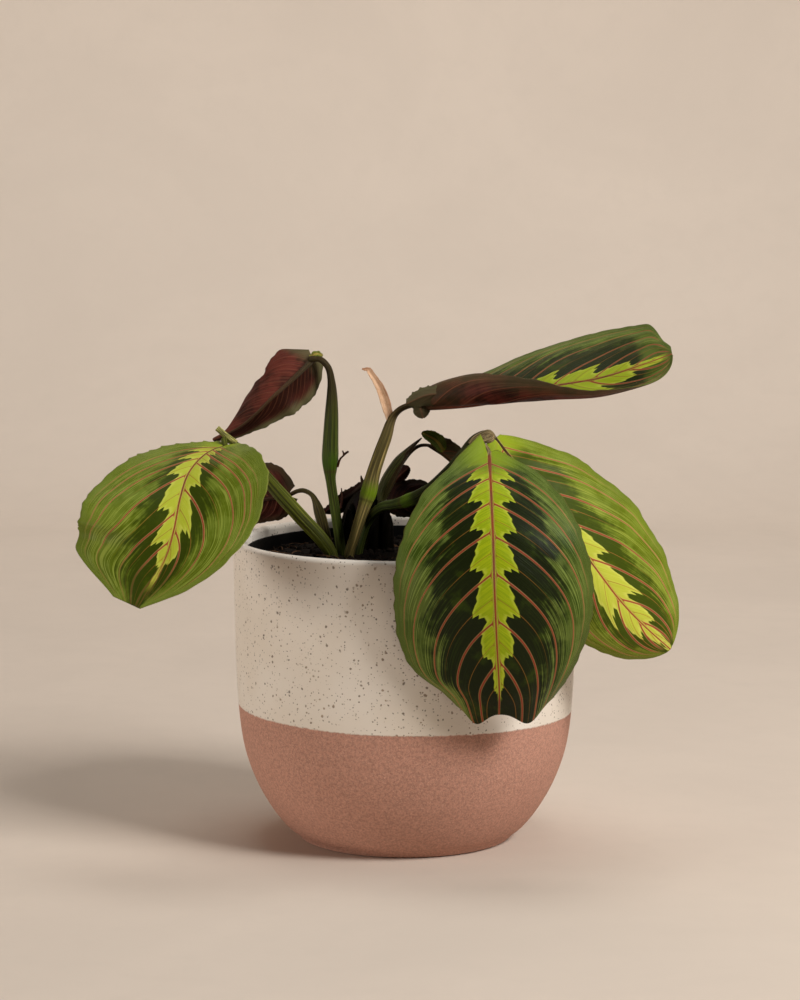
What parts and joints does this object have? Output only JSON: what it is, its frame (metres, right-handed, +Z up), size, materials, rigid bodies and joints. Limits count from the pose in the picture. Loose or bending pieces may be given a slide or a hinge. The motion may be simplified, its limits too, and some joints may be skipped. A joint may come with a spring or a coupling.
{
  "type": "potted prayer plant",
  "caption": "Prayer plant with patterned leaves that arch over a round ceramic pot with a speckled glaze; a decorative house plant that stands on a table.",
  "frame": {"origin": "middle of the ceramic pot's flat base, on the surface it stands on", "axes": "+Z up, front is -Y (the side the picture shows), +X to the viewer's right"},
  "size_m": [0.2291, 0.1589, 0.2018],
  "materials": {
    "glazed_stoneware": "satin cream glaze with brown speckles over bare terracotta clay",
    "nursery_plastic": "matt dark grey moulded plastic",
    "potting_soil": "loose dark soil with crumbs and fibres",
    "green_stem": "smooth green to brown sheaths and stalks",
    "leaf_blade": "satin leaf with red veins, dark blotches and a maroon underside",
    "dry_bract": "dry papery tan bract"
  },
  "bodies": {
    "root": {"ceramic_pot": "glazed_stoneware", "nursery_pot": "nursery_plastic", "soil": "potting_soil", "dry_bract": "dry_bract", "stem_left": "green_stem", "stem_upper_left": "green_stem", "stem_upper_right": "green_stem", "stem_centre": "green_stem", "stem_front": "green_stem", "stem_small_left": "green_stem", "stem_back_left": "green_stem", "stem_back_right": "green_stem", "leaf_front": "leaf_blade", "leaf_right": "leaf_blade", "leaf_left": "leaf_blade", "leaf_upper_right": "leaf_blade", "leaf_upper_left": "leaf_blade", "leaf_centre": "leaf_blade", "leaf_small_left": "leaf_blade", "leaf_back_left": "leaf_blade", "leaf_back_right": "leaf_blade"}
  },
  "joints": []
}
